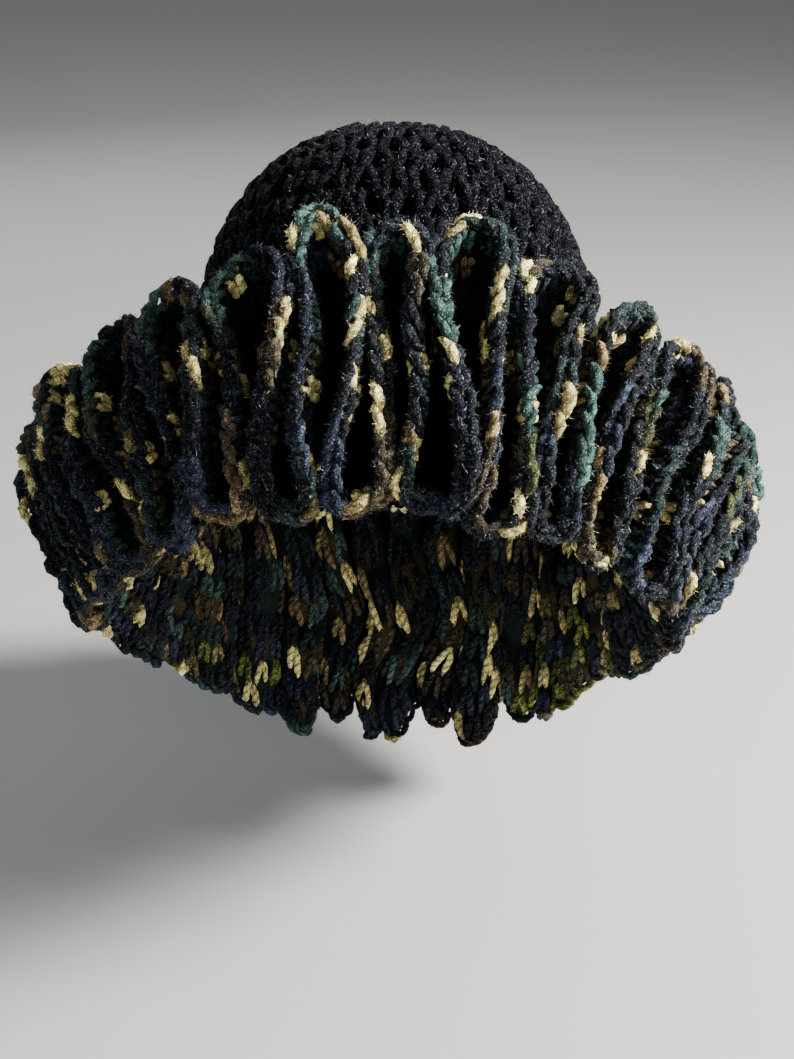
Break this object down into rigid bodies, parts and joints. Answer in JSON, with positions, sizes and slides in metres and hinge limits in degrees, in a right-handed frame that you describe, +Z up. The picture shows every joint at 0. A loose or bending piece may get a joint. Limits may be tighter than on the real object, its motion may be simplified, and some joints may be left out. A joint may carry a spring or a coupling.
{
  "type": "crochet ruffle hat",
  "caption": "Chunky crochet hat: a close round dome crown with one very full folded ruffle round its rim, kept in its worn, tilted-back pose.",
  "frame": {"origin": "centre of the head opening, in the plane of the seam between crown and ruffle", "axes": "+Z up as worn, front (over the brow) towards -Y, +X to the wearer's left"},
  "size_m": [0.3111, 0.3385, 0.3238],
  "materials": {
    "crown_yarn": "matt black plied yarn, slightly fuzzy",
    "ruffle_yarn": "matt plied yarn dyed in stretches of black, navy, dark green, brown and cream"
  },
  "bodies": {
    "root": {"crown": "crown_yarn", "ruffle_brim": "ruffle_yarn"}
  },
  "joints": []
}
